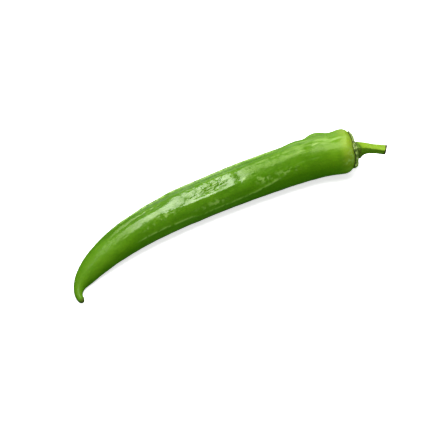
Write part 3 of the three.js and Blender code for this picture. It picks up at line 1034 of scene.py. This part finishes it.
def floor_material():
    """White paper to the camera. It throws back less light, so that the pepper's underside stays dark."""
    stage = settings("stage")
    material, tree, shader = new_material("White sweep", Roughness=0.9, Specular_IOR_Level=0.0)
    fine = noise_at(tree, node(tree, "ShaderNodeTexCoord").outputs["Object"], 900.0, detail=3.0)
    paper = tinted(tree, stage.floor, fine, 0.03, WHITE)
    seen = node(tree, "ShaderNodeLightPath").outputs["Is Camera Ray"]
    glow = times(tree, seen, stage.floor_glow)
    white = mix_colour(tree, seen, stage.floor_bounce, paper)
    fill(tree, shader, Base_Color=white, Emission_Color=WHITE, Emission_Strength=glow)
    return material


# ---- Operators ----

FLOOR_HALF, FLOOR_DROP = 6.0, 0.05 * MM  # half its width, and how far it lies under the pepper
SOFTBOX_BEHIND = 0.09  # how far behind the pepper's middle the softbox hangs
BACK_PLACE, BACK_WIDTH = (0.5, 1.1, 0.35), 0.9
SKY_SHINE = 0.03  # what every ray but the camera's sees of the sky


def add_light(name, place, width, power):
    """A square softbox that faces the pepper."""
    light = bpy.data.lights.new(name, "AREA")
    light.shape, light.size, light.energy = "SQUARE", width, power
    softbox = bpy.data.objects.new(name, light)
    softbox.location = place
    softbox.rotation_euler = (-Vector(place)).to_track_quat("-Z", "Y").to_euler()
    bpy.context.scene.collection.objects.link(softbox)


class CHILLI_OT_pod(bpy.types.Operator):
    """Make the pod's skin and its blunt tip"""

    bl_idname = "chilli.make_pod"
    bl_label = "Make the pod"

    def execute(self, context):
        spine = Spine()
        piece = make_pod(spine)
        piece.data.materials.append(pod_material(spine.length))
        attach(piece, BODY)
        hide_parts("pod")
        return {"FINISHED"}


class CHILLI_OT_calyx(bpy.types.Operator):
    """Make the calyx that caps the shoulder"""

    bl_idname = "chilli.make_calyx"
    bl_label = "Make the calyx"

    def execute(self, context):
        piece = make_calyx(Spine())
        piece.data.materials.append(calyx_material())
        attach(piece, BODY)
        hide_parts("calyx")
        return {"FINISHED"}


class CHILLI_OT_stalk(bpy.types.Operator):
    """Make the stalk with its cut end"""

    bl_idname = "chilli.make_stalk"
    bl_label = "Make the stalk"

    def execute(self, context):
        piece = make_stalk(Spine())
        piece.data.materials.append(stalk_material())
        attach(piece, BODY)
        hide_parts("stalk")
        return {"FINISHED"}


class CHILLI_OT_stage(bpy.types.Operator):
    """Make the floor, the lights, the sky and the camera"""

    bl_idname = "chilli.make_stage"
    bl_label = "Make the stage"

    def execute(self, context):
        stage = settings("stage")
        scene = context.scene
        mesh = bpy.data.meshes.new("floor")
        half = FLOOR_HALF
        corners = [(-half, -half, 0), (half, -half, 0), (half, half, 0), (-half, half, 0)]
        mesh.from_pydata(corners, [], [(0, 1, 2, 3)])
        floor = bpy.data.objects.new("floor", mesh)
        floor.location.z = -FLOOR_DROP
        mesh.materials.append(floor_material())
        scene.collection.objects.link(floor)

        over = (0.0, SOFTBOX_BEHIND, stage.softbox_height)
        add_light("softbox", over, stage.softbox_width, stage.softbox_power)
        add_light("back", BACK_PLACE, BACK_WIDTH, stage.back_power)

        world = bpy.data.worlds.new("white sky")
        world.use_nodes = True
        tree = world.node_tree
        path = node(tree, "ShaderNodeLightPath").outputs
        lit = math_node(tree, "MULTIPLY_ADD", path["Is Diffuse Ray"], stage.sky, SKY_SHINE)
        seen = math_node(tree, "ADD", path["Is Camera Ray"], lit)
        fill(tree, tree.nodes["Background"], Color=WHITE, Strength=seen)
        scene.world = world

        lens = bpy.data.cameras.new("camera")
        lens.lens, lens.sensor_width = stage.lens, stage.sensor
        camera = bpy.data.objects.new("camera", lens)
        target = Vector((stage.target_x, stage.target_y, 0.0))
        level = math.cos(stage.elevation) * stage.distance
        across, up = math.sin(stage.azimuth) * level, math.sin(stage.elevation) * stage.distance
        away = Vector((across, -math.cos(stage.azimuth) * level, up))
        camera.location = target + away
        camera.rotation_euler = (-away).to_track_quat("-Z", "Y").to_euler()
        scene.collection.objects.link(camera)
        scene.camera = camera
        scene.view_settings.view_transform = "Standard"
        return {"FINISHED"}


class CHILLI_PT_panel(bpy.types.Panel):
    """The settings and the steps, in order"""

    bl_idname = "CHILLI_PT_panel"
    bl_label = "Chilli Pepper"
    bl_space_type = "VIEW_3D"
    bl_region_type = "UI"
    bl_category = "Chilli"

    def draw(self, context):
        for title, group, operator in STEPS:
            box = self.layout.box()
            box.label(text=title)
            held = getattr(context.scene, "chilli_" + group)
            for name in held.__annotations__:
                box.prop(held, name)
            if operator:
                box.operator(operator)


STEPS = (
    ("Spine", "spine", None),
    ("Pod", "pod", "chilli.make_pod"),
    ("Calyx", "calyx", "chilli.make_calyx"),
    ("Stalk", "stalk", "chilli.make_stalk"),
    ("Stage", "stage", "chilli.make_stage"),
)

GROUPS = {
    "spine": ChilliSpineSettings,
    "pod": ChilliPodSettings,
    "calyx": ChilliCalyxSettings,
    "stalk": ChilliStalkSettings,
    "stage": ChilliStageSettings,
}

OPERATORS = (CHILLI_OT_pod, CHILLI_OT_calyx, CHILLI_OT_stalk, CHILLI_OT_stage)
CLASSES = (*GROUPS.values(), *OPERATORS, CHILLI_PT_panel)


def register():
    for made in CLASSES:
        bpy.utils.register_class(made)
    for name, group in GROUPS.items():
        setattr(bpy.types.Scene, "chilli_" + name, PointerProperty(type=group))


def unregister():
    for name in GROUPS:
        delattr(bpy.types.Scene, "chilli_" + name)
    for made in reversed(CLASSES):
        bpy.utils.unregister_class(made)


def main():
    register()
    bpy.ops.chilli.make_pod()
    bpy.ops.chilli.make_calyx()
    bpy.ops.chilli.make_stalk()
    bpy.ops.chilli.make_stage()


if __name__ == "__main__":
    main()
